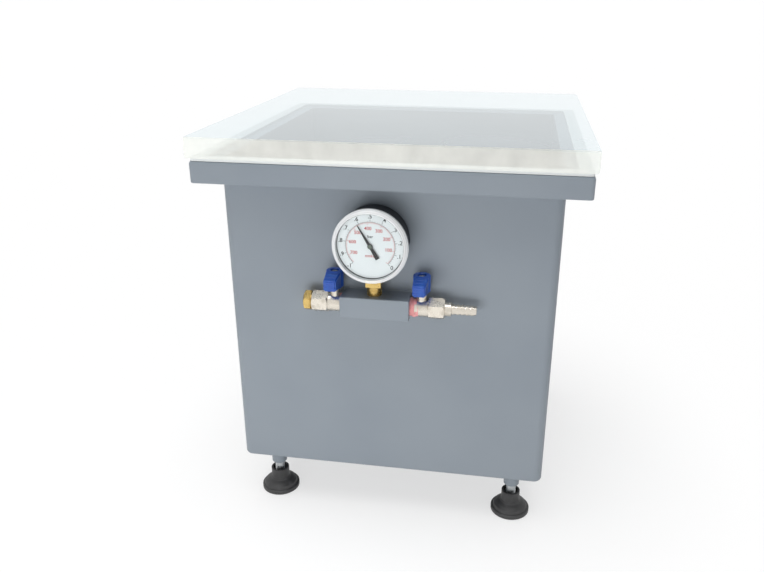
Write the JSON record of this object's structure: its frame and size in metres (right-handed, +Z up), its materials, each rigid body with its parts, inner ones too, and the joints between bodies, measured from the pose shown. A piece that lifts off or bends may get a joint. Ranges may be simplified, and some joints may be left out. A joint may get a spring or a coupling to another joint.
{
  "type": "vacuum chamber",
  "caption": "Square steel degassing box on levelling feet, with a clear loose lid on a gasket and a front manifold that carries a dial gauge, a vent valve and a hose valve.",
  "frame": {"origin": "middle of the bounding box on the plane that the four pads stand on", "axes": "+Z up, -Y the front with the gauge and valves, +X to the right as seen from the front"},
  "size_m": [0.356, 0.3724, 0.3935],
  "materials": {
    "grey_paint": "smooth semi-gloss grey paint on welded steel",
    "white_silicone": "matt white silicone",
    "clear_acrylic": "clear cast acrylic with polished edges",
    "nickel": "bright nickel plate over brass",
    "ptfe": "white PTFE",
    "blue_plastic": "moulded blue plastic",
    "zinc_steel": "zinc-plated steel",
    "brass": "bare turned brass",
    "pink_sealant": "set pink thread sealant",
    "black_case": "gloss black painted steel",
    "clear_window": "clear polycarbonate",
    "white_dial": "matt white paint",
    "black_needle": "matt black paint",
    "black_plastic": "moulded black nylon"
  },
  "bodies": {
    "chamber": {"bourdon_tube": "brass", "front_left_foot_bush": "grey_paint", "front_right_foot_bush": "grey_paint", "gauge_case": "black_case", "gauge_dial": "white_dial", "gauge_socket": "brass", "gauge_window": "clear_window", "hose_tail": "nickel", "lid": "clear_acrylic", "lid_gasket": "white_silicone", "manifold_block": "grey_paint", "movement_plates": "brass", "pump_thread_sealant": "pink_sealant", "pump_valve_body": "nickel", "pump_valve_retainer": "nickel", "pump_valve_seats": "ptfe", "rear_left_foot_bush": "grey_paint", "rear_right_foot_bush": "grey_paint", "tank_shell": "grey_paint", "top_flange": "grey_paint", "vent_plug": "brass", "vent_valve_body": "nickel", "vent_valve_retainer": "nickel", "vent_valve_seats": "ptfe"},
    "vent_lever": {"vent_handle": "blue_plastic", "vent_handle_screw": "zinc_steel", "vent_valve_stem": "nickel", "vent_valve_ball": "nickel"},
    "pump_lever": {"pump_handle": "blue_plastic", "pump_handle_screw": "zinc_steel", "pump_valve_stem": "nickel", "pump_valve_ball": "nickel"},
    "needle": {"gauge_needle": "black_needle"},
    "sector": {"sector_gear": "brass"},
    "front_left_pad": {"front_left_foot_pad": "black_plastic"},
    "front_left_stud": {"front_left_foot_stud": "zinc_steel"},
    "front_right_pad": {"front_right_foot_pad": "black_plastic"},
    "front_right_stud": {"front_right_foot_stud": "zinc_steel"},
    "rear_left_pad": {"rear_left_foot_pad": "black_plastic"},
    "rear_left_stud": {"rear_left_foot_stud": "zinc_steel"},
    "rear_right_pad": {"rear_right_foot_pad": "black_plastic"},
    "rear_right_stud": {"rear_right_foot_stud": "zinc_steel"}
  },
  "joints": [
    {"name": "vent_handle_turn", "type": "hinge", "parent": "chamber", "child": "vent_lever", "pos_m": [-0.04725, -0.15931, 0.267], "axis": [0, 0, 1], "range_deg": [-90, 0]},
    {"name": "pump_handle_turn", "type": "hinge", "parent": "chamber", "child": "pump_lever", "pos_m": [0.03325, -0.15931, 0.267], "axis": [0, 0, 1], "range_deg": [0, 100]},
    {"name": "needle_turn", "type": "hinge", "parent": "chamber", "child": "needle", "pos_m": [-0.0105, -0.17631, 0.305], "axis": [0, 1, 0], "range_deg": [-104, 166]},
    {"name": "sector_turn", "type": "hinge", "parent": "chamber", "child": "sector", "pos_m": [-0.0105, -0.17631, 0.28888], "axis": [0, 1, 0], "range_deg": [-18.5, 11.6]},
    {"name": "front_left_pad_slide", "type": "slide", "parent": "chamber", "child": "front_left_pad", "axis": [0, 0, 1], "range_m": [-0.004, 0.0075]},
    {"name": "front_left_stud_turn", "type": "hinge", "parent": "front_left_pad", "child": "front_left_stud", "pos_m": [-0.126, -0.12081, 0.0145], "axis": [0, 0, 1], "range_deg": [-961, 1801]},
    {"name": "front_right_pad_slide", "type": "slide", "parent": "chamber", "child": "front_right_pad", "axis": [0, 0, 1], "range_m": [-0.004, 0.0075]},
    {"name": "front_right_stud_turn", "type": "hinge", "parent": "front_right_pad", "child": "front_right_stud", "pos_m": [0.126, -0.12081, 0.0145], "axis": [0, 0, 1], "range_deg": [-961, 1801]},
    {"name": "rear_left_pad_slide", "type": "slide", "parent": "chamber", "child": "rear_left_pad", "axis": [0, 0, 1], "range_m": [-0.004, 0.0075]},
    {"name": "rear_left_stud_turn", "type": "hinge", "parent": "rear_left_pad", "child": "rear_left_stud", "pos_m": [-0.126, 0.13719, 0.0145], "axis": [0, 0, 1], "range_deg": [-961, 1801]},
    {"name": "rear_right_pad_slide", "type": "slide", "parent": "chamber", "child": "rear_right_pad", "axis": [0, 0, 1], "range_m": [-0.004, 0.0075]},
    {"name": "rear_right_stud_turn", "type": "hinge", "parent": "rear_right_pad", "child": "rear_right_stud", "pos_m": [0.126, 0.13719, 0.0145], "axis": [0, 0, 1], "range_deg": [-961, 1801]}
  ],
  "couplings": [
    {"joint": "sector_turn", "follows": "needle_turn", "ratio": -0.11111},
    {"joint": "front_left_stud_turn", "follows": "front_left_pad_slide", "rad_per_m": 4188.8},
    {"joint": "front_right_stud_turn", "follows": "front_right_pad_slide", "rad_per_m": 4188.8},
    {"joint": "rear_left_stud_turn", "follows": "rear_left_pad_slide", "rad_per_m": 4188.8},
    {"joint": "rear_right_stud_turn", "follows": "rear_right_pad_slide", "rad_per_m": 4188.8}
  ]
}
